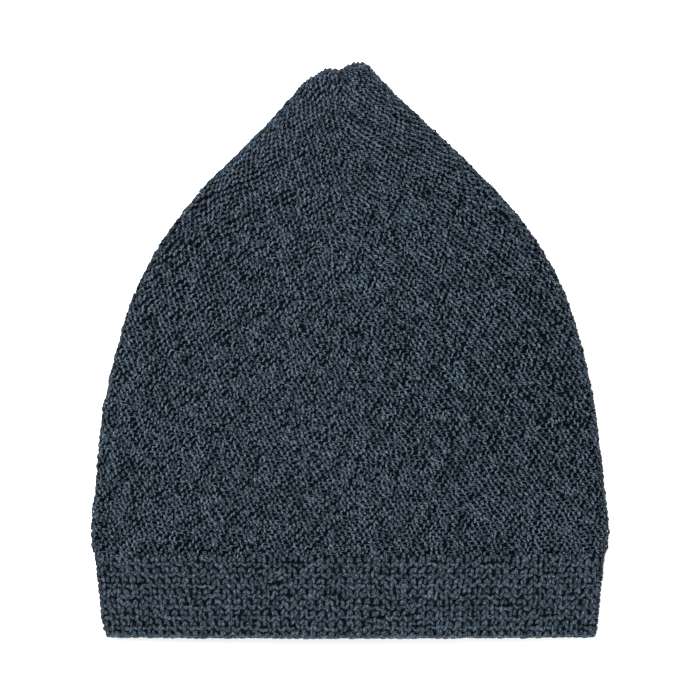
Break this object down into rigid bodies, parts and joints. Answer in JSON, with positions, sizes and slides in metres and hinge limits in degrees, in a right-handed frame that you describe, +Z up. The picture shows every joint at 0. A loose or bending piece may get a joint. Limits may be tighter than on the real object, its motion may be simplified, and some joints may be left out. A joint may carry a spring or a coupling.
{
  "type": "knitted kufi",
  "caption": "Soft brimless knitted cap with a pointed, gathered crown and a chunkier knitted band round its head opening, lying flat on its back layer.",
  "frame": {"origin": "on the surface that the cap lies on, under the middle of its flat outline", "axes": "+X across the cap to its right side as seen from above, +Y from the head opening to the tip, +Z up through both layers of the cap"},
  "size_m": [0.22, 0.2454, 0.0217],
  "materials": {
    "crown_knit": "fine slate-blue marled knit, matt, with leaning stitches and dark gaps between them",
    "band_knit": "chunkier slate-blue marled knit, matt, with rows of small dark eyelets and a slanted cast-off edge"
  },
  "bodies": {
    "root": {"crown": "crown_knit", "band": "band_knit"}
  },
  "joints": []
}
